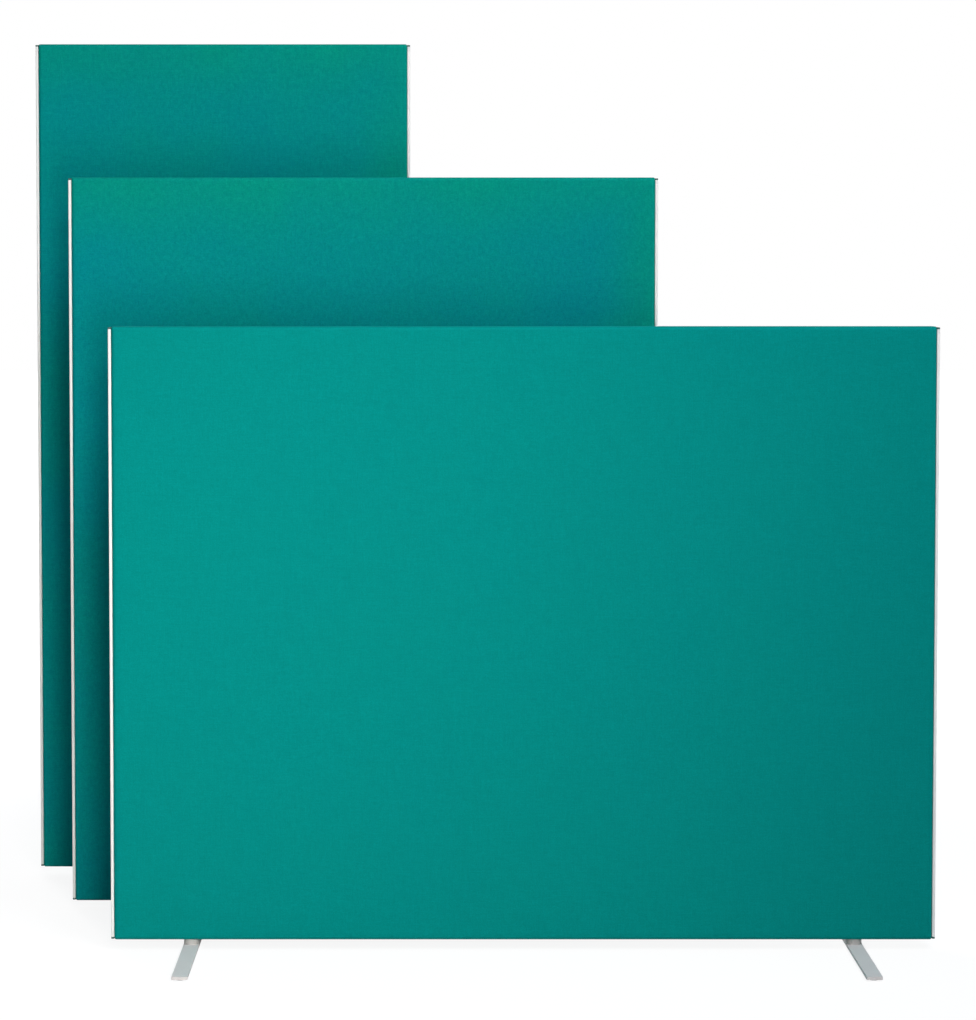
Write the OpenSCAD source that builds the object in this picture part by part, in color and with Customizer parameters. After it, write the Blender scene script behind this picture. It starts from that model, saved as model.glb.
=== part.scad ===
/* [Front screen] */
// Width of the front screen over its fabric, without the edge strips
front_w = 1600; // [1200:10:2000]
// Height of the front screen's panel
front_h = 1200; // [900:10:1500]

/* [Middle screen] */
// Width of the middle screen over its fabric
middle_w = 1200; // [900:10:1600]
// Height of the middle screen's panel
middle_h = 1500; // [1200:10:1800]
// How far the middle screen's centre stands to the left of the front screen's centre
middle_left = 320; // [290:1:360]
// Distance from the front screen's mid plane back to the middle screen's
middle_back = 310; // [290:1:340]

/* [Rear screen] */
// Width of the rear screen over its fabric
rear_w = 800; // [600:10:1000]
// Height of the rear screen's panel
rear_h = 1800; // [1500:10:2100]
// How far the rear screen's centre stands to the left of the middle screen's centre
rear_left = 313; // [290:1:360]
// Distance from the middle screen's mid plane back to the rear screen's
rear_back = 300; // [290:1:340]

/* [Timber frame] */
// Thickness of the frame timber, front to back
frame_t = 32; // [26:1:45]
// Width of a stile across the panel
stile_w = 45; // [42:1:70]
// Height of a rail's section
rail_h = 45; // [40:1:70]
// Diameter of a frame dowel
dowel_d = 8; // [6:1:10]
// Length of a frame dowel, half in the stile and half in the rail
dowel_l = 50; // [40:1:50]
// Distance between the two dowels of a joint
dowel_pitch = 22; // [16:1:26]

/* [Padding and fabric] */
// Thickness of the felt sheet over each face of the frame
padding_t = 4; // [2:0.5:8]
// Thickness of the cover fabric
fabric_t = 1.5; // [1:0.1:2]
// Radius of the soft edge round each face
edge_r = 8; // [5:0.5:10]
// Radius of the panel's corners, seen from the front
corner_r = 3; // [2:0.5:10]
// Length of the fabric flap tucked into a stile's groove
tuck_l = 11; // [6:0.5:12]

/* [Edge strip] */
// How far an edge strip's head stands out of the panel's side
head_x = 6; // [5:0.5:9]
// Width of the head, front to back
head_y = 36; // [28:1:38]
// Radius of the head's corners
head_r = 2; // [1:0.1:2.2]
// Wall thickness of the hollow head
head_wall = 1.4; // [1:0.1:1.6]
// Thickness of the tongue between its barbs
tongue_t = 2.2; // [1.6:0.1:3]
// Length of the tongue from the head into the groove
tongue_l = 14; // [13:0.5:16]
// How far a barb stands out of the tongue
barb_y = 0.5; // [0.3:0.1:0.8]
// Length of a barb along the tongue
barb_x = 2.5; // [2:0.1:3]
// Number of barbs on each side of the tongue
barb_count = 3; // [2:1:4]
// Distance from the panel's top down to the top of the strip
strip_below_top = 2; // [2:0.5:15]
// Distance from the panel's bottom up to the bottom of the strip
strip_above_bottom = 2; // [2:0.5:10]
// Thickness of an end cap
cap_t = 3.5; // [1.5:0.1:5]
// Length of the cap's peg in the hollow head
peg_l = 9; // [6:0.5:15]

/* [Foot] */
// Length of the foot bar, front to back
foot_l = 480; // [400:5:485]
// Width of the foot bar
foot_w = 30; // [26:1:40]
// Thickness of the foot bar
foot_t = 6; // [6:0.5:10]
// Radius of the foot bar's corners
foot_r = 1.5; // [0.5:0.1:4]
// Distance from the panel's end to the middle of the foot
foot_in = 150; // [120:5:200]
// Diameter of a foot pad
pad_d = 24; // [16:1:26]
// Thickness of a foot pad
pad_t = 3; // [2:0.5:6]
// Distance from the foot's end to the middle of a pad
pad_in = 20; // [14:1:40]

/* [Foot fixing] */
// Outer diameter of the collar between foot and panel
collar_d = 30; // [20:1:32]
// Height of the collar
collar_h = 11; // [8:1:20]
// Diameter of the foot screw
screw_d = 8; // [6:1:8]
// Diameter of the countersunk screw head
screw_head_d = 16; // [14:0.5:16]
// Width across the flats of the hexagon socket
socket_af = 5; // [4:0.5:6]
// Depth of the hexagon socket
socket_depth = 2.8; // [2:0.1:3]
// Depth of the screw in the threaded insert
screw_grip = 20; // [12:1:22]
// Outer diameter of the threaded insert
insert_d = 12; // [10:0.5:13]
// Length of the threaded insert with its flange
insert_l = 24; // [22:1:28]
// Diameter of the insert's flange
insert_flange_d = 20; // [16:0.5:22]
// Thickness of the insert's flange
insert_flange_t = 1.5; // [1:0.1:2]

/* [Hidden] */
// Gap between the cover fabric and what it is drawn over
cover_gap = 0.2;
// Gap between a slab of absorber and the timber round it
slab_gap = 0.3;
// Gap on each side of a flap or barb in the stile's groove
groove_gap = 0.1;
// Space past the end of the tongue and of each dowel
end_gap = 1;
// Radial gap round a dowel, an insert or a screw
pin_gap = 0.05;
// Gap round a cap's peg
peg_gap = 0.1;
// Gap between the countersunk head and its seat, and of its face above the pads' tops
head_gap = 0.1;
// Gap round the screw where it passes the cover fabric
screw_hole_gap = 0.5;
// Overrun of a cut past the face that it opens
over = 1;
// Corners of a hexagon
HEX = 6;
$fn = 48;

FABRIC = [0.01, 0.54, 0.51];
FELT = [0.82, 0.82, 0.80];
WOOL = [0.72, 0.66, 0.42];
TIMBER = [0.85, 0.70, 0.48];
BEECH = [0.80, 0.62, 0.42];
WHITE = [0.95, 0.95, 0.95];
DARK = [0.16, 0.17, 0.18];
FOOT_GREY = [0.73, 0.73, 0.73];
ZINC = [0.62, 0.63, 0.65];
RUBBER = [0.10, 0.10, 0.10];

panel_z = pad_t + foot_t + collar_h;
skin = fabric_t + cover_gap;
core_t = frame_t + 2 * padding_t;
panel_t = core_t + 2 * skin;
flap_y = tongue_t / 2 + barb_y + groove_gap;
groove_y = flap_y + fabric_t + groove_gap;
groove_x = tongue_l - skin + end_gap;
strip_z = panel_z + strip_above_bottom;
screw_head_h = (screw_head_d - screw_d) / 2;
hole_d = screw_d + 2 * pin_gap;
bed_z = panel_z + skin;

// One row for each screen: name, width, height, place across, place back
SCREENS = [
    ["front", front_w, front_h, 0, 0],
    ["middle", middle_w, middle_h, -middle_left, middle_back],
    ["rear", rear_w, rear_h, -middle_left - rear_left, middle_back + rear_back]
];
PIECES = [
    "left_stile", "right_stile", "top_rail", "bottom_rail", "mid_rail", "frame_dowels",
    "absorber", "padding", "front_cover", "back_cover", "left_edge", "right_edge",
    "edge_caps", "foot_inserts", "foot_collars", "foot_screws",
    "left_foot", "left_foot_pads", "right_foot", "right_foot_pads"
];

function name(s) = s[0];
function width(s) = s[1];
function height(s) = s[2];
function core_w(s) = width(s) - 2 * skin;
function core_h(s) = height(s) - 2 * skin;
function strip_h(s) = height(s) - strip_above_bottom - strip_below_top;
function foot_x(s) = width(s) / 2 - foot_in;
function rail_l(s) = core_w(s) - 2 * stile_w;
function rail_zs(s) = [
    bed_z + rail_h / 2, bed_z + core_h(s) / 2, bed_z + core_h(s) - rail_h / 2
];

// The origin is the middle of the whole set on the floor
low_x = min([for (s = SCREENS) s[3] - width(s) / 2 - head_x]);
high_x = max([for (s = SCREENS) s[3] + width(s) / 2 + head_x]);
low_y = min([for (s = SCREENS) s[4] - foot_l / 2]);
high_y = max([for (s = SCREENS) s[4] + foot_l / 2]);
function place(s) = [s[3] - (low_x + high_x) / 2, s[4] - (low_y + high_y) / 2, 0];

// Rectangle with true round corners
module round_rect(a, b, r) {
    square([a - 2 * r, b], center = true);
    square([a, b - 2 * r], center = true);
    for (x = [r - a / 2, a / 2 - r], y = [r - b / 2, b / 2 - r])
        translate([x, y]) circle(r);
}

// Panel block that stands on z = 0: soft edges round both faces, and round corners
module soft_block(w, t, h, edge, corner) {
    intersection() {
        linear_extrude(h) round_rect(w, t, edge);
        translate([-w / 2, 0, h / 2])
            rotate([90, 0, 90])
                linear_extrude(w) round_rect(t, h, edge);
        translate([0, t / 2, h / 2])
            rotate([90, 0, 0])
                linear_extrude(t) round_rect(w, h, corner);
    }
}

// What the covers are drawn over: timber, absorber and felt stay inside it
module core_block(s) {
    translate([0, 0, bed_z])
        soft_block(core_w(s), core_t, core_h(s), edge_r - skin, corner_r - skin);
}

// Timber lies between the felt sheets and inside the soft edges
module timber(s) {
    intersection() {
        core_block(s);
        children();
    }
}

// One dowel, or the bore for one, centred on a joint between stile and rail
module dowel(d, l) {
    translate([-l / 2, 0, 0]) rotate([0, 90, 0]) cylinder(d = d, h = l);
}

module dowels(s, d, l) {
    for (side = [-1, 1], z = rail_zs(s), dz = [-dowel_pitch / 2, dowel_pitch / 2])
        translate([side * rail_l(s) / 2, 0, z + dz]) dowel(d, l);
}

module dowel_bores(s) {
    dowels(s, dowel_d + 2 * pin_gap, dowel_l + 2 * end_gap);
}

module stile(s, side) {
    color(TIMBER) timber(s) difference() {
        translate([side * (core_w(s) - stile_w) / 2, 0, bed_z + core_h(s) / 2])
            cube([stile_w, frame_t, core_h(s)], center = true);
        dowel_bores(s);
        translate([side * (core_w(s) - groove_x + over) / 2, 0, bed_z + core_h(s) / 2])
            cube([groove_x + over, 2 * groove_y, core_h(s) + 2 * over], center = true);
    }
}

module rail(s, z) {
    color(TIMBER) timber(s) difference() {
        translate([0, 0, z]) cube([rail_l(s), frame_t, rail_h], center = true);
        dowel_bores(s);
        at_feet(s) {
            translate([0, 0, bed_z - over])
                cylinder(d = insert_d + 2 * pin_gap, h = insert_l + end_gap + over);
            translate([0, 0, bed_z - over])
                cylinder(d = insert_flange_d + 2 * pin_gap, h = insert_flange_t + over);
        }
    }
}

module frame_dowels(s) {
    color(BEECH) dowels(s, dowel_d, dowel_l);
}

// A slab of mineral wool fills each bay of the frame
module absorber(s) {
    bay_h = (core_h(s) - 3 * rail_h) / 2;
    color(WOOL)
        for (z = [bed_z + rail_h, bed_z + 2 * rail_h + bay_h])
            translate([0, 0, z + bay_h / 2])
                cube([rail_l(s) - 2 * slab_gap, frame_t, bay_h - 2 * slab_gap], center = true);
}

module padding(s) {
    color(FELT) intersection() {
        core_block(s);
        for (side = [-1, 1])
            translate([0, side * (frame_t + padding_t) / 2, bed_z + core_h(s) / 2])
                cube([core_w(s), padding_t, core_h(s)], center = true);
    }
}

// Half of the cover: face, half the thickness all round, and a flap tucked in at each side
module cover(s, side) {
    color(FABRIC) {
        difference() {
            translate([0, 0, panel_z])
                soft_block(width(s), panel_t, height(s), edge_r, corner_r);
            translate([0, 0, panel_z + fabric_t])
                soft_block(width(s) - 2 * fabric_t, panel_t - 2 * fabric_t,
                    height(s) - 2 * fabric_t, edge_r - fabric_t, corner_r - fabric_t);
            translate([-width(s), side > 0 ? -panel_t : 0, panel_z - over])
                cube([2 * width(s), panel_t, height(s) + 2 * over]);
            for (x = [-width(s) / 2, width(s) / 2])
                translate([x, 0, strip_z + strip_h(s) / 2])
                    cube([2 * (fabric_t + over), 2 * flap_y, strip_h(s)], center = true);
            at_feet(s) translate([0, 0, panel_z - over])
                cylinder(d = screw_d + 2 * screw_hole_gap, h = fabric_t + 2 * over);
        }
        for (x = [-1, 1])
            translate([x * (width(s) - tuck_l) / 2, side * (flap_y + fabric_t / 2),
                    strip_z + strip_h(s) / 2])
                cube([tuck_l, fabric_t, strip_h(s)], center = true);
    }
}

// One side of the tongue, from its tip to its last barb
function tongue_side(side) = [
    [-tongue_l, side * tongue_t / 2],
    for (i = [1 : barb_count])
        let (x = i * (barb_x + barb_y) - tongue_l)
            each [
                [x - barb_x, side * tongue_t / 2],
                [x, side * (tongue_t / 2 + barb_y)],
                [x, side * tongue_t / 2]
            ]
];
function backwards(points) = [for (i = [len(points) - 1 : -1 : 0]) points[i]];

// Plan of the edge strip: x = 0 is the panel's side, and the head stands out along +x
module head_plan(grow) {
    translate([head_x / 2, 0]) round_rect(head_x + 2 * grow, head_y + 2 * grow, head_r);
}

module hollow_head() {
    difference() {
        head_plan(0);
        translate([head_x / 2, 0])
            square([head_x - 2 * head_wall, head_y - 2 * head_wall], center = true);
    }
}

// The tongue starts halfway through the head's wall
module tongue_plan() {
    root = head_wall / 2;
    polygon(concat(
        tongue_side(1), [[root, tongue_t / 2], [root, -tongue_t / 2]],
        backwards(tongue_side(-1))
    ));
}

module edge(s, side) {
    length = strip_h(s) - 2 * cap_t;
    color(WHITE)
        translate([side * width(s) / 2, 0, strip_z + cap_t])
            mirror([side < 0 ? 1 : 0, 0, 0]) {
                linear_extrude(length) hollow_head();
                linear_extrude(length) tongue_plan();
            }
}

module end_cap() {
    linear_extrude(cap_t) head_plan(0);
    translate([head_x / 2, 0, cap_t])
        linear_extrude(peg_l)
            square([head_x - 2 * (head_wall + peg_gap), head_y - 2 * (head_wall + peg_gap)],
                center = true);
}

module edge_caps(s) {
    color(DARK)
        for (side = [0, 1])
            mirror([side, 0, 0]) translate([width(s) / 2, 0, 0]) {
                translate([0, 0, strip_z]) end_cap();
                translate([0, 0, strip_z + strip_h(s)]) mirror([0, 0, 1]) end_cap();
            }
}

module at_feet(s) {
    for (x = [-foot_x(s), foot_x(s)])
        translate([x, 0, 0]) children();
}

module foot_inserts(s) {
    color(ZINC) at_feet(s) translate([0, 0, bed_z]) difference() {
        union() {
            cylinder(d = insert_d, h = insert_l);
            cylinder(d = insert_flange_d, h = insert_flange_t);
        }
        translate([0, 0, -over]) cylinder(d = hole_d, h = insert_l + 2 * over);
    }
}

module foot_collars(s) {
    color(FOOT_GREY) at_feet(s) translate([0, 0, pad_t + foot_t]) difference() {
        cylinder(d = collar_d, h = collar_h);
        translate([0, 0, -over]) cylinder(d = hole_d, h = collar_h + 2 * over);
    }
}

module foot_screws(s) {
    color(ZINC) at_feet(s) translate([0, 0, pad_t + head_gap]) difference() {
        union() {
            cylinder(d1 = screw_head_d, d2 = screw_d, h = screw_head_h);
            cylinder(d = screw_d, h = bed_z + screw_grip - pad_t - head_gap);
        }
        translate([0, 0, -over])
            cylinder(d = socket_af / cos(180 / HEX), h = socket_depth + over, $fn = HEX);
    }
}

module foot(s, side) {
    seat_d = screw_head_d + 2 * head_gap;
    color(FOOT_GREY) translate([side * foot_x(s), 0, pad_t]) difference() {
        linear_extrude(foot_t) round_rect(foot_w, foot_l, foot_r);
        translate([0, 0, -over]) cylinder(d = hole_d, h = foot_t + 2 * over);
        cylinder(d1 = seat_d + 2 * head_gap, d2 = screw_d, h = seat_d / 2 + head_gap - screw_d / 2);
    }
}

module foot_pads(s, side) {
    color(RUBBER)
        for (y = [pad_in - foot_l / 2, foot_l / 2 - pad_in])
            translate([side * foot_x(s), y, 0]) cylinder(d = pad_d, h = pad_t);
}

for (s = SCREENS)
    translate(place(s)) {
        stile(s, -1);
        stile(s, 1);
        rail(s, rail_zs(s)[2]);
        rail(s, rail_zs(s)[0]);
        rail(s, rail_zs(s)[1]);
        frame_dowels(s);
        absorber(s);
        padding(s);
        cover(s, -1);
        cover(s, 1);
        edge(s, -1);
        edge(s, 1);
        edge_caps(s);
        foot_inserts(s);
        foot_collars(s);
        foot_screws(s);
        foot(s, -1);
        foot_pads(s, -1);
        foot(s, 1);
        foot_pads(s, 1);
    }
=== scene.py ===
"""Three upholstered screens: modelled covers, felt and wool, and materials for the other solids."""
import math
import random

import bmesh
import bpy
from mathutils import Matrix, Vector, noise


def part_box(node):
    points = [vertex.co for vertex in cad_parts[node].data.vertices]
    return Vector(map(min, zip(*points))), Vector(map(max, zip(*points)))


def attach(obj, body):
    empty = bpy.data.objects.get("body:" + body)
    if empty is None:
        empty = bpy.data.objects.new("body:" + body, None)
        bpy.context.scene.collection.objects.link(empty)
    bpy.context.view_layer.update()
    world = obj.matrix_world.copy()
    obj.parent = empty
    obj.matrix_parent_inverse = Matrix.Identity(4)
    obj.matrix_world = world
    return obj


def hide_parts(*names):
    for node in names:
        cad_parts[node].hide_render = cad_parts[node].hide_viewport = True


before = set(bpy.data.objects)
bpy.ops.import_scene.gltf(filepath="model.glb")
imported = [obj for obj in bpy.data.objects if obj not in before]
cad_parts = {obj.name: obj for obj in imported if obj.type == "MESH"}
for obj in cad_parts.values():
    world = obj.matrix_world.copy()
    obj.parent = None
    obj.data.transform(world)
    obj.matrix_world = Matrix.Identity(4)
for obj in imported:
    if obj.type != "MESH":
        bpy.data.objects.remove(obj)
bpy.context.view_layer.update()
SCREENS = ("front", "middle", "rear")

# All lengths are in metres

# The covers follow the solids
EDGE_R = 0.008             # radius of the soft edges
CORNER_POWER = 5.0         # above 2, which would make the panel's corners round
HEAD_HALF = 0.018          # half the width of an edge strip's head
HEAD_PRESS = 0.00015       # how far the head presses the cloth in
STRIP_END = 0.002          # the strips stop this far from the panel's top and bottom
GROOVE_Y = 0.0017          # distance of a tucked flap from the mid plane
FLAP = 0.011               # depth of a tucked flap
FLAP_RUN = 0.0015          # at a strip's end, the flap turns into the seam over this length
SEAM_IN = 0.006            # depth of the seam along the panel's top and bottom

# Lines down a side wall, each as its distance from the mid plane and how far it is pulled in.
# The last ones are different for the seam and for the flap that is tucked into the groove.
WALL_LINES = ((0.0112, 0.0), (0.0085, 0.0), (0.006, 0.0), (0.004, 0.0))
SEAM_LINES = ((0.0022, 0.0), (0.0013, 0.00012), (0.0007, 0.0004), (0.0003, 0.0009),
              (0.00018, 0.0018), (0.00018, SEAM_IN))
FLAP_LINES = ((0.0030, 0.00002), (0.0023, 0.00016), (0.0019, 0.0005), (GROOVE_Y, 0.0011),
              (GROOVE_Y, 0.004), (GROOVE_Y, FLAP))

# The faces of the covers
CLOTH_STEP = 0.014         # between two lines of the mesh
LINE_GAP = 0.0008          # no other line comes closer to an extra one
RELIEF_EDGE = 0.06         # the unevenness grows over this distance from the edge
BROAD_HEIGHT, BROAD_WAVES = 0.00032, 3.1
PULL_HEIGHT, PULL_WAVES_X, PULL_WAVES_Z = 0.00010, 9.0, 2.0

# The ladder stitches along the seam
STITCH_START = 0.014
STITCH_PITCH = 0.0065
STITCH_LEAN, LEAN_SPREAD = 0.0008, 0.0002
THREAD_R, THREAD_SIDES = 0.00028, 6
# Across the seam, and above it
STITCH_PATH = ((-0.0022, -0.0007), (-0.0016, 0.0), (-0.0006, -0.0001),
               (0.0006, -0.0001), (0.0016, 0.0), (0.0022, -0.0007))

# Felt and mineral wool
FELT_INSET = 0.002         # from the felt solid's outline, all round
BAY_GAP = 0.0003           # between a wool slab and the mid rail
SLAB_STEP = 0.03
SLAB_LAYERS = 3
SLAB_CORNER = 0.0006       # edges and corners are drawn in by this
SLAB_WAVES = 23.0
FELT_SWELL, WOOL_SWELL = 0.0003, 0.0012

FOOT_EASE = 0.0008         # width of the eased edges of the feet

# The middle and rear covers carry painted light along their top and right-hand edges: lighter and
# greener there, where the light falls
PAINTED_LIGHT_REACH = 0.15
PAINTED_LIGHT_TINT = (1.5, 1.08, 0.875)

PINE = ((0.66, 0.46, 0.25), (0.50, 0.30, 0.13))
BEECH = ((0.56, 0.36, 0.20), (0.44, 0.26, 0.13))
# Painted light: the feet's grey is lighter than their paint, to light them in the panel's shade,
# and warmer, to cancel the teal light bounced onto them
FOOT_GREY_WITH_PAINTED_LIGHT = ((0.725, 0.690, 0.683), (0.775, 0.740, 0.733))
# Painted shade: the collars share the feet's paint, but their grey is darker to shade their upright
# sides, which face the lamps
COLLAR_GREY_WITH_PAINTED_SHADE = ((0.545, 0.535, 0.525), (0.615, 0.605, 0.595))
THREAD_TEAL = ((0.002, 0.14, 0.13), (0.006, 0.23, 0.22))
# The yarn of each cover, from dark to light. The middle and rear yarns are lighter than the
# front's, which is painted light for the screens behind, and bluer, which is a painted cool shade
YARNS_AND_PAINTED_LIGHT = {
    "front": ((0.0005, 0.228, 0.212), (0.0006, 0.258, 0.240), (0.0012, 0.292, 0.272)),
    "middle": ((0.0005, 0.235, 0.241), (0.0008, 0.277, 0.283), (0.0030, 0.320, 0.320)),
    "rear": ((0.0005, 0.248, 0.250), (0.0008, 0.291, 0.289), (0.0030, 0.334, 0.325)),
}
WHITE = (1.0, 1.0, 1.0)


# Node helpers

def material(name, slot_name):
    mat = bpy.data.materials.new(name)
    mat.use_nodes = True
    mat["slot"] = slot_name
    tree = mat.node_tree
    tree.nodes.clear()
    out = tree.nodes.new("ShaderNodeOutputMaterial")
    shader = tree.nodes.new("ShaderNodeBsdfPrincipled")
    tree.links.new(shader.outputs[0], out.inputs[0])
    coords = tree.nodes.new("ShaderNodeTexCoord").outputs["Object"]
    return mat, tree, shader, coords


def stretch(tree, coords, scale):
    node = tree.nodes.new("ShaderNodeMapping")
    node.inputs["Scale"].default_value = scale
    tree.links.new(coords, node.inputs["Vector"])
    return node.outputs[0]


def noise_tex(tree, coords, scale, detail=3.0, rough=0.5, distortion=0.0):
    node = tree.nodes.new("ShaderNodeTexNoise")
    node.inputs["Scale"].default_value = scale
    node.inputs["Detail"].default_value = detail
    node.inputs["Roughness"].default_value = rough
    node.inputs["Distortion"].default_value = distortion
    tree.links.new(coords, node.inputs["Vector"])
    return node.outputs["Fac"]


def wave_tex(tree, coords, scale, direction, distortion=0.0, detail=1.0):
    node = tree.nodes.new("ShaderNodeTexWave")
    node.bands_direction = direction
    node.inputs["Scale"].default_value = scale
    node.inputs["Distortion"].default_value = distortion
    node.inputs["Detail"].default_value = detail
    node.inputs["Detail Scale"].default_value = 2.0
    tree.links.new(coords, node.inputs["Vector"])
    return node.outputs["Fac"]


def ramp(tree, fac, stops):
    node = tree.nodes.new("ShaderNodeValToRGB")
    points = node.color_ramp.elements
    while len(points) < len(stops):
        points.new(0.5)
    for point, (at, colour) in zip(points, stops):
        point.position = at
        point.color = (*colour, 1.0)
    tree.links.new(fac, node.inputs["Fac"])
    return node.outputs["Color"]


def math_node(tree, kind, a, b):
    node = tree.nodes.new("ShaderNodeMath")
    node.operation = kind
    for socket, value in zip(node.inputs, (a, b)):
        if isinstance(value, float):
            socket.default_value = value
        else:
            tree.links.new(value, socket)
    return node.outputs[0]


def blend(tree, a, share_a, b, share_b):
    return math_node(tree, "ADD", math_node(tree, "MULTIPLY", a, share_a),
                     math_node(tree, "MULTIPLY", b, share_b))


def tinted(tree, colour, tint, strength):
    """The colour multiplied by a tint, which is a colour's output or three numbers."""
    node = tree.nodes.new("ShaderNodeMix")
    node.data_type = "RGBA"
    node.blend_type = "MULTIPLY"
    for socket, value in ((node.inputs[0], strength), (node.inputs[6], colour),
                          (node.inputs[7], tint)):
        if isinstance(value, float):
            socket.default_value = value
        elif isinstance(value, tuple):
            socket.default_value = (*value, 1.0)
        else:
            tree.links.new(value, socket)
    return node.outputs[2]


def bump(tree, shader, height, distance, strength=1.0, before=None):
    node = tree.nodes.new("ShaderNodeBump")
    node.inputs["Strength"].default_value = strength
    node.inputs["Distance"].default_value = distance
    tree.links.new(height, node.inputs["Height"])
    if before is not None:
        tree.links.new(before, node.inputs["Normal"])
    tree.links.new(node.outputs[0], shader.inputs["Normal"])
    return node.outputs[0]


def span(tree, fac, low, high):
    node = tree.nodes.new("ShaderNodeMapRange")
    node.inputs["To Min"].default_value = low
    node.inputs["To Max"].default_value = high
    tree.links.new(fac, node.inputs["Value"])
    return node.outputs[0]


def smooth_range(tree, value, settings):
    node = tree.nodes.new("ShaderNodeMapRange")
    node.interpolation_type = "SMOOTHSTEP"
    for key, setting in settings.items():
        node.inputs[key].default_value = setting
    tree.links.new(value, node.inputs["Value"])
    return node.outputs[0]


# Materials

def painted_light_mask(tree, coords, corner):
    """Mask of the painted light: 1 at the panel's top and right-hand edges, falling to 0 at the
    reach set above and further in.
    """
    place = tree.nodes.new("ShaderNodeSeparateXYZ")
    tree.links.new(coords, place.inputs[0])
    inwards = math_node(tree, "MINIMUM",
                        math_node(tree, "SUBTRACT", corner.x, place.outputs["X"]),
                        math_node(tree, "SUBTRACT", corner.z, place.outputs["Z"]))
    return smooth_range(tree, inwards, {"From Max": PAINTED_LIGHT_REACH, "To Min": 1.0, "To Max": 0.0})


def fabric_material(screen, seed, mottle, edge_light_painted):
    mat, tree, shader, panel_coords = material(f"cover_fabric_{screen}", "cover_fabric")
    shift = tree.nodes.new("ShaderNodeVectorMath")
    shift.inputs[1].default_value = (seed, seed * 0.7, seed * 1.3)
    tree.links.new(panel_coords, shift.inputs[0])
    coords = shift.outputs[0]
    # Mottled yarn, with slubs along the warp and the weft
    melange = noise_tex(tree, coords, scale=420.0, detail=3.0, rough=0.62)
    warp = noise_tex(tree, stretch(tree, coords, (620.0, 620.0, 46.0)), scale=1.0, detail=2.0)
    weft = noise_tex(tree, stretch(tree, coords, (46.0, 620.0, 620.0)), scale=1.0, detail=2.0)
    tone = blend(tree, melange, 0.6, blend(tree, warp, 0.5, weft, 0.5), 0.4)
    # the middle and rear yarns carry painted light and a painted blue shade
    colour = ramp(tree, tone, list(zip((0.36, 0.5, 0.64), YARNS_AND_PAINTED_LIGHT[screen])))
    # Faint changes between a greener and a bluer teal: broad ones, and blotches of the nap
    broad = noise_tex(tree, coords, scale=3.2, detail=3.0, rough=0.55)
    broad_tint = ramp(tree, broad, [(0.35, (0.90, 0.94, 1.0)), (0.65, (1.0, 1.0, 0.92))])
    colour = tinted(tree, colour, broad_tint, mottle)
    nap = noise_tex(tree, stretch(tree, coords, (150.0, 150.0, 90.0)),
                    scale=1.0, detail=3.0, rough=0.6)
    nap_tint = ramp(tree, nap, [(0.38, (0.86, 0.88, 0.93)), (0.62, (1.0, 1.0, 0.97))])
    colour = tinted(tree, colour, nap_tint, mottle)
    # Painted light: the cover is made lighter and greener along its top and right-hand edges
    if edge_light_painted:
        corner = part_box(f"{screen}_back_cover")[1]
        colour = tinted(tree, colour, PAINTED_LIGHT_TINT, painted_light_mask(tree, panel_coords, corner))
    tree.links.new(colour, shader.inputs["Base Color"])
    threads = math_node(tree, "MULTIPLY",
                        wave_tex(tree, coords, scale=260.0, direction="X", distortion=1.2),
                        wave_tex(tree, coords, scale=260.0, direction="Z", distortion=1.2))
    height = blend(tree, threads, 0.45, tone, 0.9)
    fine = bump(tree, shader, height, distance=0.0006, strength=0.75)
    soft = noise_tex(tree, coords, scale=60.0, detail=2.0)
    bump(tree, shader, soft, distance=0.0012, strength=0.35, before=fine)
    tree.links.new(span(tree, melange, 0.86, 0.98), shader.inputs["Roughness"])
    shader.inputs["Specular IOR Level"].default_value = 0.03
    shader.inputs["Sheen Weight"].default_value = 0.02
    shader.inputs["Sheen Roughness"].default_value = 0.5
    shader.inputs["Sheen Tint"].default_value = (0.25, 0.85, 0.78, 1.0)
    return mat


def thread_material():
    mat, tree, shader, coords = material("seam_thread", "cover_fabric")
    twist = wave_tex(tree, coords, scale=900.0, direction="DIAGONAL", distortion=0.6)
    tree.links.new(ramp(tree, twist, list(zip((0.2, 0.8), THREAD_TEAL))),
                   shader.inputs["Base Color"])
    bump(tree, shader, twist, distance=0.0002)
    shader.inputs["Roughness"].default_value = 0.7
    return mat


def felt_material():
    mat, tree, shader, coords = material("felt", "felt")
    fibres = noise_tex(tree, coords, scale=380.0, detail=5.0, rough=0.7, distortion=1.5)
    flecks = noise_tex(tree, coords, scale=90.0, detail=2.0)
    colour = ramp(tree, fibres, [(0.3, (0.50, 0.50, 0.47)), (0.7, (0.72, 0.72, 0.69))])
    fleck_tint = ramp(tree, flecks, [(0.4, (0.75, 0.76, 0.78)), (0.6, WHITE)])
    tree.links.new(tinted(tree, colour, fleck_tint, 0.4), shader.inputs["Base Color"])
    bump(tree, shader, fibres, distance=0.0008)
    shader.inputs["Roughness"].default_value = 1.0
    shader.inputs["Specular IOR Level"].default_value = 0.1
    return mat


def wool_material():
    mat, tree, shader, coords = material("mineral_wool", "mineral_wool")
    layers = noise_tex(tree, stretch(tree, coords, (60.0, 420.0, 60.0)),
                       scale=1.0, detail=4.0, rough=0.65, distortion=0.8)
    fibres = noise_tex(tree, coords, scale=300.0, detail=5.0, rough=0.75, distortion=2.0)
    mixed = math_node(tree, "MULTIPLY", layers, fibres)
    tree.links.new(ramp(tree, mixed, [(0.12, (0.30, 0.24, 0.09)), (0.36, (0.58, 0.49, 0.22))]),
                   shader.inputs["Base Color"])
    bump(tree, shader, mixed, distance=0.003)
    shader.inputs["Roughness"].default_value = 1.0
    shader.inputs["Specular IOR Level"].default_value = 0.1
    return mat


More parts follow.
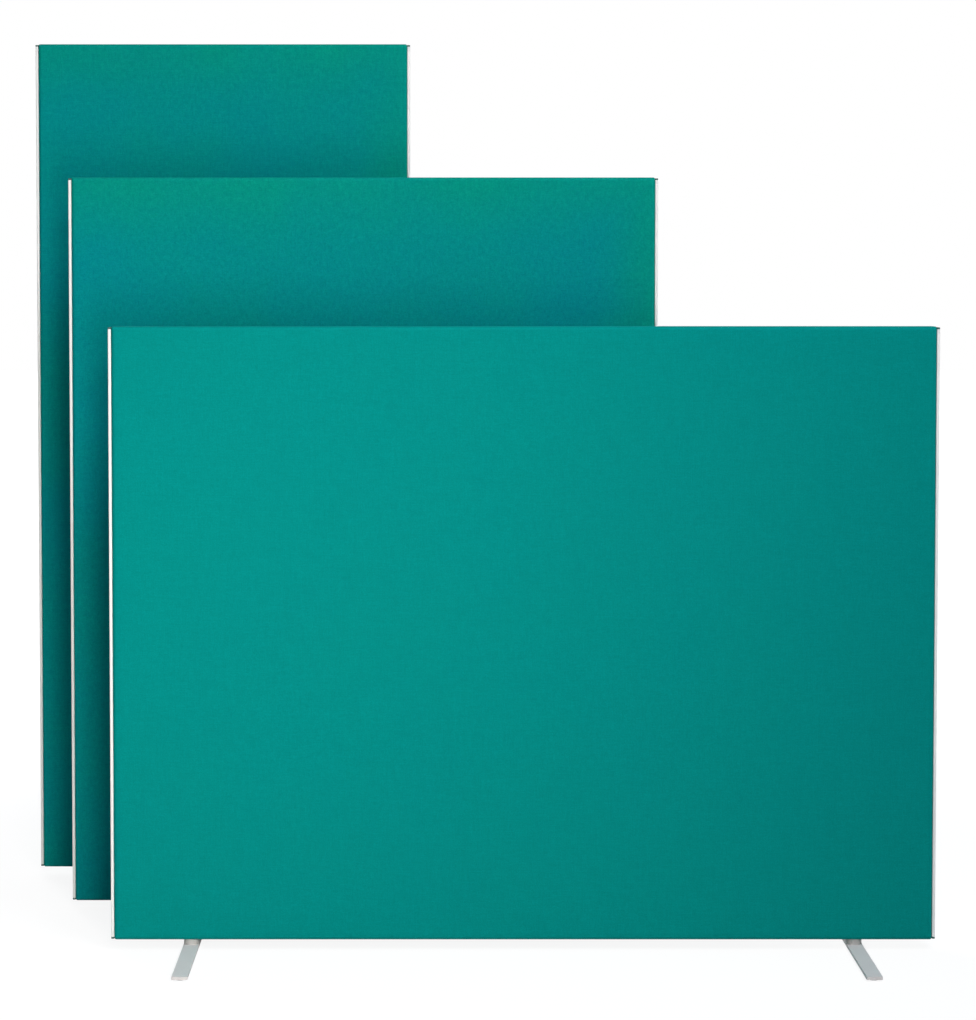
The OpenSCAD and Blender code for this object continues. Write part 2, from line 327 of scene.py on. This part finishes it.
def timber_material(name, slot_name, along, shades):
    """Timber with its grain along the given axis, the long way of the piece."""
    mat, tree, shader, coords = material(name, slot_name)
    squeeze = [14.0, 14.0, 14.0]
    squeeze[along] = 0.9
    grain = stretch(tree, coords, tuple(squeeze))
    rings = wave_tex(tree, grain, scale=1.6, direction="DIAGONAL", distortion=5.0, detail=3.0)
    pores = noise_tex(tree, stretch(tree, coords, tuple(6.0 * s for s in squeeze)),
                      scale=6.0, detail=4.0, rough=0.6)
    colour = ramp(tree, rings, list(zip((0.15, 0.75), shades)))
    pore_tint = ramp(tree, pores, [(0.35, (0.62, 0.5, 0.38)), (0.6, WHITE)])
    tree.links.new(tinted(tree, colour, pore_tint, 0.35), shader.inputs["Base Color"])
    bump(tree, shader, pores, distance=0.0004, strength=0.6)
    tree.links.new(span(tree, pores, 0.5, 0.72), shader.inputs["Roughness"])
    return mat


def strip_material():
    """White extruded plastic, with faint draw lines along its length."""
    mat, tree, shader, coords = material("edge_strip_white", "edge_white")
    lines = noise_tex(tree, stretch(tree, coords, (2600.0, 2600.0, 5.0)), scale=1.0, detail=2.0)
    cloud = noise_tex(tree, coords, scale=9.0, detail=2.0)
    tree.links.new(ramp(tree, cloud, [(0.3, (0.86, 0.86, 0.85)), (0.7, (0.90, 0.90, 0.89))]),
                   shader.inputs["Base Color"])
    bump(tree, shader, lines, distance=0.00008, strength=0.5)
    tree.links.new(span(tree, lines, 0.30, 0.42), shader.inputs["Roughness"])
    return mat


def cap_material():
    mat, tree, shader, coords = material("cap_dark", "cap_dark")
    spark = noise_tex(tree, coords, scale=1400.0, detail=2.0, rough=0.6)
    tree.links.new(ramp(tree, spark, [(0.3, (0.025, 0.088, 0.077)), (0.7, (0.042, 0.117, 0.102))]),
                   shader.inputs["Base Color"])
    bump(tree, shader, spark, distance=0.00012)
    shader.inputs["Roughness"].default_value = 0.55
    return mat


def paint_material(name, shades):
    mat, tree, shader, coords = material(name, "foot_paint")
    peel = noise_tex(tree, coords, scale=520.0, detail=2.0, rough=0.45)
    grit = noise_tex(tree, coords, scale=2600.0, detail=2.0, rough=0.6)
    dust = noise_tex(tree, coords, scale=14.0, detail=4.0, rough=0.6)
    colour = ramp(tree, grit, list(zip((0.3, 0.7), shades)))
    dust_tint = ramp(tree, dust, [(0.35, (0.94, 0.94, 0.945)), (0.65, WHITE)])
    tree.links.new(tinted(tree, colour, dust_tint, 0.5), shader.inputs["Base Color"])
    fine = bump(tree, shader, peel, distance=0.00025, strength=0.6)
    bump(tree, shader, grit, distance=0.00006, strength=0.5, before=fine)
    tree.links.new(span(tree, dust, 0.58, 0.72), shader.inputs["Roughness"])
    shader.inputs["Specular IOR Level"].default_value = 0.12
    return mat


def zinc_material():
    mat, tree, shader, coords = material("zinc_plate", "zinc_steel")
    turned = noise_tex(tree, stretch(tree, coords, (90.0, 90.0, 3000.0)), scale=1.0, detail=3.0)
    stain = noise_tex(tree, coords, scale=160.0, detail=3.0, rough=0.6)
    tree.links.new(ramp(tree, stain, [(0.3, (0.48, 0.48, 0.46)), (0.7, (0.66, 0.67, 0.69))]),
                   shader.inputs["Base Color"])
    bump(tree, shader, turned, distance=0.00006, strength=0.5)
    tree.links.new(span(tree, turned, 0.24, 0.44), shader.inputs["Roughness"])
    shader.inputs["Metallic"].default_value = 1.0
    return mat


def rubber_material():
    mat, tree, shader, coords = material("pad_rubber", "pad_rubber")
    grip = noise_tex(tree, coords, scale=700.0, detail=3.0, rough=0.6)
    dust = noise_tex(tree, coords, scale=60.0, detail=3.0, rough=0.6)
    tree.links.new(ramp(tree, dust, [(0.35, (0.012, 0.012, 0.012)), (0.75, (0.035, 0.034, 0.033))]),
                   shader.inputs["Base Color"])
    bump(tree, shader, grip, distance=0.0003)
    tree.links.new(span(tree, dust, 0.7, 0.92), shader.inputs["Roughness"])
    return mat


FABRIC = {
    "front": fabric_material("front", seed=0.0, mottle=0.15, edge_light_painted=False),
    "middle": fabric_material("middle", seed=3.1, mottle=1.0, edge_light_painted=True),
    "rear": fabric_material("rear", seed=7.7, mottle=1.0, edge_light_painted=True),
}
THREAD = thread_material()
FELT = felt_material()
WOOL = wool_material()
ALONG_X, ALONG_Z = 0, 2
# The materials of the solids that stay as they are; SAME names the pieces that share one
BY_PIECE = {
    "left_stile": timber_material("pine_upright", "frame_timber", ALONG_Z, PINE),
    "top_rail": timber_material("pine_level", "frame_timber", ALONG_X, PINE),
    "frame_dowels": timber_material("beech_dowel", "dowel_beech", ALONG_X, BEECH),
    "left_edge": strip_material(),
    "edge_caps": cap_material(),
    "foot_inserts": zinc_material(),
    # the feet's grey carries painted light
    "left_foot": paint_material("foot_powder_coat_with_painted_light", FOOT_GREY_WITH_PAINTED_LIGHT),
    # the collars' grey carries painted shade
    "foot_collars": paint_material("collar_powder_coat_painted_shade", COLLAR_GREY_WITH_PAINTED_SHADE),
    "left_foot_pads": rubber_material(),
}
SAME = {
    "right_stile": "left_stile", "bottom_rail": "top_rail", "mid_rail": "top_rail",
    "right_edge": "left_edge", "foot_screws": "foot_inserts", "right_foot": "left_foot",
    "right_foot_pads": "left_foot_pads",
}


# Mesh helpers

def finish_object(name, mesh, mat):
    mesh.polygons.foreach_set("use_smooth", [True] * len(mesh.polygons))
    mesh.materials.append(mat)
    obj = bpy.data.objects.new(name, mesh)
    bpy.context.scene.collection.objects.link(obj)
    return obj


def mesh_object(name, verts, faces, mat):
    mesh = bpy.data.meshes.new(name)
    mesh.from_pydata(verts, [], faces)
    mesh.validate()
    mesh.update()
    return finish_object(name, mesh, mat)


def even(low, high, step):
    count = max(1, round((high - low) / step))
    return [low + (high - low) * i / count for i in range(count + 1)]


# The lines of a soft edge, as shares of its radius
ARC = [math.tan(math.radians(a)) for a in (45.0, 37.5, 30.0, 22.5, 15.0, 7.5, 0.0)]


def face_lines(low, high, step, extra=()):
    """Lines across a face: close together on the soft edges, and at the extra places."""
    soft = [EDGE_R * (1.0 - t) for t in ARC]
    inner = even(low + EDGE_R, high - EDGE_R, step)[1:-1]
    lines = [low + s for s in soft] + inner + [high - s for s in reversed(soft)]
    keep = [v for v in lines if all(abs(v - e) > LINE_GAP for e in extra)]
    return sorted(keep + list(extra))


# The covers

def cover_half(name, screen, low, high, side, mat):
    """Half of a cover as one stretched skin: its face, soft edges, sides, and what is tucked in.
    side is -1 for the half that faces -Y and 1 for the other."""
    x0, x1, z0, z1 = low.x, high.x, low.z, high.z
    mid, half = (low.y + high.y) / 2, (high.y - low.y) / 2
    top, bottom = z1 - STRIP_END, z0 + STRIP_END
    xs = face_lines(x0, x1, CLOTH_STEP)
    zs = face_lines(z0, z1, CLOTH_STEP, (bottom, bottom + FLAP_RUN, top - FLAP_RUN, top))
    wall = [(half - EDGE_R * (1.0 - t), 0.0) for t in ARC[1:]] + list(WALL_LINES)

    def soften(x, d, z):
        """The sharp box's point on the soft one; d is the distance from the mid plane."""
        q = Vector((x, d, z))
        c = Vector((min(max(x, x0 + EDGE_R), x1 - EDGE_R), min(d, half - EDGE_R),
                    min(max(z, z0 + EDGE_R), z1 - EDGE_R)))
        away = q - c
        across = (abs(away.x) ** CORNER_POWER + abs(away.z) ** CORNER_POWER) ** (2 / CORNER_POWER)
        return c + away * (EDGE_R / math.sqrt(across + away.y ** 2))

    def relief(x, z):
        """Fabric drawn tight over felt: uneven by under half a millimetre, differently on each
        half, and even at the edges."""
        border = min(x - x0, x1 - x, z - z0, z1 - z)
        fade = min(max((border - EDGE_R) / RELIEF_EDGE, 0.0), 1.0)
        at = Vector((x * BROAD_WAVES + len(screen), side * 2.0, z * BROAD_WAVES))
        broad = noise.fractal(at, 0.7, 2.0, 2)
        pull = noise.noise(Vector((x * PULL_WAVES_X, side * 3.0 + len(screen), z * PULL_WAVES_Z)))
        return fade * (BROAD_HEIGHT * broad + PULL_HEIGHT * pull)

    verts, index, faces = [], {}, []

    def add(key, x, d, z):
        if key not in index:
            index[key] = len(verts)
            verts.append((x, mid + side * d, z))
        return index[key]

    def face_vert(i, k):
        p = soften(xs[i], half, zs[k])
        return add(("f", i, k), p.x, p.y + relief(p.x, p.z), p.z)

    def ring(n):
        """The points where a wall starts, in order round the face."""
        a, b = len(xs) - 1, len(zs) - 1
        return ([(i, 0) for i in range(a)] + [(a, k) for k in range(b)]
                + [(i, b) for i in range(a, 0, -1)] + [(0, k) for k in range(b, 0, -1)])[n]

    rim = 2 * (len(xs) + len(zs)) - 4

    def wall_vert(n, step):
        i, k = ring(n % rim)
        if step == 0:
            return face_vert(i, k)
        x, z = xs[i], zs[k]
        if step <= len(wall):
            d, inward = wall[step - 1]
        else:
            d, inward = SEAM_LINES[step - len(wall) - 1]
            if i in (0, len(xs) - 1) and bottom < z < top:
                share = min(1.0, min(z - bottom, top - z) / FLAP_RUN)
                flap_d, flap_inward = FLAP_LINES[step - len(wall) - 1]
                d = d + share * (flap_d - d)
                inward = inward + share * (flap_inward - inward)
        p = soften(x, d, z)
        # Under the strip's head the fabric is pressed flat
        if i in (0, len(xs) - 1):
            press = HEAD_PRESS if d < HEAD_HALF else 0.0
            p.x += (inward + press) * (1 if i == 0 else -1)
        if k in (0, len(zs) - 1):
            p.z += inward * (1 if k == 0 else -1)
        return add(("w", n % rim, step), p.x, p.y, p.z)

    def quad(a, b, c, d):
        faces.append((a, b, c, d) if side < 0 else (d, c, b, a))

    for i in range(len(xs) - 1):
        for k in range(len(zs) - 1):
            quad(face_vert(i, k), face_vert(i + 1, k), face_vert(i + 1, k + 1), face_vert(i, k + 1))
    for n in range(rim):
        for step in range(len(wall) + len(SEAM_LINES)):
            quad(wall_vert(n, step), wall_vert(n, step + 1), wall_vert(n + 1, step + 1),
                 wall_vert(n + 1, step))
    return mesh_object(name, verts, faces, mat)


def thread_stitches(name, low, high):
    """Ladder stitches that close the two halves of the cover along its top and bottom."""
    rng = random.Random(name)
    verts, faces = [], []
    mid = (low.y + high.y) / 2
    last = len(STITCH_PATH) - 1
    for z, up in ((high.z, 1), (low.z, -1)):
        for x in even(low.x + STITCH_START, high.x - STITCH_START, STITCH_PITCH):
            lean = STITCH_LEAN + rng.uniform(-LEAN_SPREAD, LEAN_SPREAD)
            base = len(verts)
            for n, (y, rise) in enumerate(STITCH_PATH):
                lean_here = lean * (n / last - 0.5) * 2
                for s in range(THREAD_SIDES):
                    a = 2 * math.pi * s / THREAD_SIDES
                    verts.append((x + lean_here + THREAD_R * math.cos(a), mid + y,
                                  z + up * (rise + THREAD_R * math.sin(a))))
            for n in range(last):
                for s in range(THREAD_SIDES):
                    a = base + n * THREAD_SIDES + s
                    b = base + n * THREAD_SIDES + (s + 1) % THREAD_SIDES
                    faces.append((a, b, b + THREAD_SIDES, a + THREAD_SIDES))
            faces.append(tuple(base + s for s in reversed(range(THREAD_SIDES))))
            faces.append(tuple(base + last * THREAD_SIDES + s for s in range(THREAD_SIDES)))
    return mesh_object(name, verts, faces, THREAD)


# Felt and mineral wool

def rough_slab(bm, low, high, swell, seed):
    """Closed slab with slightly uneven faces and soft corners."""
    counts = [max(2, round((h - l) / SLAB_STEP)) for l, h in zip(low, high)]
    counts[1] = SLAB_LAYERS
    centre = Vector([(l + h) / 2 for l, h in zip(low, high)])
    index = {}

    def vert(i, j, k):
        key = (i, j, k)
        if key not in index:
            share = [n / c for n, c in zip(key, counts)]
            p = Vector([l + s * (h - l) for l, s, h in zip(low, share, high)])
            on = [n in (0, c) for n, c in zip(key, counts)]
            pull = Vector([math.copysign(1.0, v) if o else 0.0 for v, o in zip(centre - p, on)])
            wave = 0.5 + 0.5 * noise.noise(p * SLAB_WAVES + Vector((seed, 0.0, 0.0)))
            p += pull * (swell * wave + (SLAB_CORNER if sum(on) > 1 else 0.0))
            index[key] = bm.verts.new(p)
        return index[key]

    for axis in range(3):
        u, v = [a for a in range(3) if a != axis]
        for end in (0, counts[axis]):
            for a in range(counts[u]):
                for b in range(counts[v]):
                    corners = []
                    for da, db in ((0, 0), (1, 0), (1, 1), (0, 1)):
                        key = [0, 0, 0]
                        key[axis], key[u], key[v] = end, a + da, b + db
                        corners.append(vert(*key))
                    bm.faces.new(corners)


def soft_slabs(name, boxes, swell, mat):
    bm = bmesh.new()
    for n, (low, high) in enumerate(boxes):
        rough_slab(bm, low, high, swell, 5.0 * n)
    bmesh.ops.recalc_face_normals(bm, faces=bm.faces)
    mesh = bpy.data.meshes.new(name)
    bm.to_mesh(mesh)
    bm.free()
    return finish_object(name, mesh, mat)


# The screens

def dress(screen):
    body = f"{screen}_screen"
    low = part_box(f"{screen}_front_cover")[0]
    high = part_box(f"{screen}_back_cover")[1]
    felt_low, felt_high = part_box(f"{screen}_padding")
    wool_low, wool_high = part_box(f"{screen}_absorber")
    rail_low, rail_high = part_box(f"{screen}_mid_rail")

    # Felt: one thin sheet on each face of the frame
    thick = felt_high.y - wool_high.y
    boxes = [
        (Vector((felt_low.x + FELT_INSET, y0, felt_low.z + FELT_INSET)),
         Vector((felt_high.x - FELT_INSET, y1, felt_high.z - FELT_INSET)))
        for y0, y1 in ((felt_low.y, felt_low.y + thick), (felt_high.y - thick, felt_high.y))]
    felt = soft_slabs(f"{screen}_felt", boxes, FELT_SWELL, FELT)
    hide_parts(f"{screen}_padding")
    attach(felt, body)

    # Mineral wool: one slab in each bay
    boxes = [(wool_low, Vector((wool_high.x, wool_high.y, rail_low.z - BAY_GAP))),
             (Vector((wool_low.x, wool_low.y, rail_high.z + BAY_GAP)), wool_high)]
    wool = soft_slabs(f"{screen}_wool", boxes, WOOL_SWELL, WOOL)
    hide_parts(f"{screen}_absorber")
    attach(wool, body)

    stitches = thread_stitches(f"{screen}_seam_stitches", low, high)
    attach(stitches, body)
    for side, word in ((-1, "front"), (1, "back")):
        skin = cover_half(f"{screen}_{word}_fabric", screen, low, high, side, FABRIC[screen])
        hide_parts(f"{screen}_{word}_cover")
        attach(skin, body)

    for piece in [*BY_PIECE, *SAME]:
        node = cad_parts[f"{screen}_{piece}"]
        node.data.materials.clear()
        node.data.materials.append(BY_PIECE[SAME.get(piece, piece)])
        if piece in ("left_foot", "right_foot"):
            edge = node.modifiers.new("eased_edges", "BEVEL")
            edge.width = FOOT_EASE
            edge.segments = 3
            edge.limit_method = "ANGLE"
            edge.angle_limit = math.radians(50)
            edge.harden_normals = True


for screen in SCREENS:
    dress(screen)


# Floor, light and camera

FLOOR_HALF = 30.0          # half the floor's width
FLOOR_GREY = (0.68, 0.68, 0.68)
FLOOR_WHITE = 1.17         # brightness of the white that covers the floor's shading
# Share of that white: lower round the screens, where the floor keeps a faint shadow
WHITE_SHARE = {"From Min": 1.2, "From Max": 3.2, "To Min": 0.76, "To Max": 1.0}
CEILING = 0.36             # strength of the sky straight above
SKY_TINT = (0.84, 0.96, 1.15)
COOL, WARM = (0.98, 1.00, 1.04), (1.06, 1.00, 0.90)
CAMERA_PLACE = (-0.0519, -5.1952, 1.3150)
CAMERA_DOWN = 0.0438       # radians below the horizon
CAMERA_LENS = 88.82
CAMERA_SHIFT = (0.05, -0.12)


def shown_ray(tree, rays):
    """1 for a ray that shows a surface to the camera, straight or in a gloss or a glass."""
    return math_node(tree, "MAXIMUM", rays.outputs["Is Camera Ray"],
                     math_node(tree, "MAXIMUM", rays.outputs["Is Glossy Ray"],
                               rays.outputs["Is Transmission Ray"]))


def stage_floor():
    mesh = bpy.data.meshes.new("floor")
    corners = ((-1, -1), (1, -1), (1, 1), (-1, 1))
    mesh.from_pydata([(FLOOR_HALF * x, FLOOR_HALF * y, 0) for x, y in corners],
                     [], [(0, 1, 2, 3)])
    obj = bpy.data.objects.new("floor", mesh)
    bpy.context.scene.collection.objects.link(obj)
    mat = bpy.data.materials.new("pale_floor")
    mat.use_nodes = True
    tree = mat.node_tree
    tree.nodes.clear()
    out = tree.nodes.new("ShaderNodeOutputMaterial")
    rays = tree.nodes.new("ShaderNodeLightPath")
    pale = tree.nodes.new("ShaderNodeBsdfDiffuse")
    pale.inputs["Color"].default_value = (*FLOOR_GREY, 1.0)
    white = tree.nodes.new("ShaderNodeEmission")
    white.inputs["Color"].default_value = (*WHITE, 1.0)
    white.inputs["Strength"].default_value = FLOOR_WHITE
    reach = tree.nodes.new("ShaderNodeVectorMath")
    reach.operation = "LENGTH"
    tree.links.new(tree.nodes.new("ShaderNodeTexCoord").outputs["Object"], reach.inputs[0])
    fade = smooth_range(tree, reach.outputs["Value"], WHITE_SHARE)
    mix = tree.nodes.new("ShaderNodeMixShader")
    tree.links.new(math_node(tree, "MULTIPLY", shown_ray(tree, rays), fade), mix.inputs[0])
    tree.links.new(pale.outputs[0], mix.inputs[1])
    tree.links.new(white.outputs[0], mix.inputs[2])
    tree.links.new(mix.outputs[0], out.inputs[0])
    mesh.materials.append(mat)


def stage_world():
    """Even fill that grows towards the ceiling; what the camera sees of it is white."""
    world = bpy.data.worlds.new("studio")
    bpy.context.scene.world = world
    world.use_nodes = True
    tree = world.node_tree
    tree.nodes.clear()
    out = tree.nodes.new("ShaderNodeOutputWorld")
    rays = tree.nodes.new("ShaderNodeLightPath")
    split = tree.nodes.new("ShaderNodeSeparateXYZ")
    tree.links.new(tree.nodes.new("ShaderNodeTexCoord").outputs["Generated"], split.inputs[0])
    up = math_node(tree, "MAXIMUM", split.outputs["Z"], 0.0)
    fill = tree.nodes.new("ShaderNodeBackground")
    fill.inputs["Color"].default_value = (*SKY_TINT, 1.0)
    tree.links.new(math_node(tree, "MULTIPLY", up, CEILING), fill.inputs["Strength"])
    white = tree.nodes.new("ShaderNodeBackground")
    white.inputs["Color"].default_value = (*WHITE, 1.0)
    white.inputs["Strength"].default_value = 1.0
    mix = tree.nodes.new("ShaderNodeMixShader")
    tree.links.new(shown_ray(tree, rays), mix.inputs[0])
    tree.links.new(fill.outputs[0], mix.inputs[1])
    tree.links.new(white.outputs[0], mix.inputs[2])
    tree.links.new(mix.outputs[0], out.inputs[0])


def area_light(name, place, aim, size, power, spread, tint):
    light = bpy.data.lights.new(name, "AREA")
    light.shape = "RECTANGLE"
    light.color = tint
    light.size, light.size_y = size
    light.energy = power
    light.spread = math.radians(spread)
    obj = bpy.data.objects.new(name, light)
    bpy.context.scene.collection.objects.link(obj)
    obj.location = place
    obj.rotation_euler = (Vector(aim) - Vector(place)).to_track_quat("-Z", "Y").to_euler()
    obj.visible_camera = False


def stage_camera():
    data = bpy.data.cameras.new("camera")
    data.lens = CAMERA_LENS
    data.sensor_width = 36.0
    data.shift_x, data.shift_y = CAMERA_SHIFT
    data.clip_end = 100.0
    obj = bpy.data.objects.new("camera", data)
    bpy.context.scene.collection.objects.link(obj)
    obj.location = CAMERA_PLACE
    obj.rotation_euler = (math.pi / 2 - CAMERA_DOWN, 0.0, 0.0)
    bpy.context.scene.camera = obj


stage_floor()
stage_world()
area_light("overhead", place=(1.70, -2.40, 4.00), aim=(-0.10, 0.00, 1.10), size=(2.0, 2.0),
           power=50.4, spread=130, tint=COOL)
area_light("low_fill", place=(0.02, -2.90, 0.85), aim=(-1.10, -0.20, 0.85), size=(0.6, 1.2),
           power=11.04, spread=100, tint=WARM)
area_light("key", place=(0.27, -4.30, 2.60), aim=(-0.65, -0.25, 1.00), size=(1.0, 1.0),
           power=9.6, spread=80, tint=WARM)
area_light("back", place=(-2.40, 3.80, 2.60), aim=(0.00, 0.20, 0.90), size=(2.4, 2.0),
           power=50.4, spread=120, tint=WHITE)
stage_camera()
bpy.context.scene.view_settings.view_transform = "Standard"
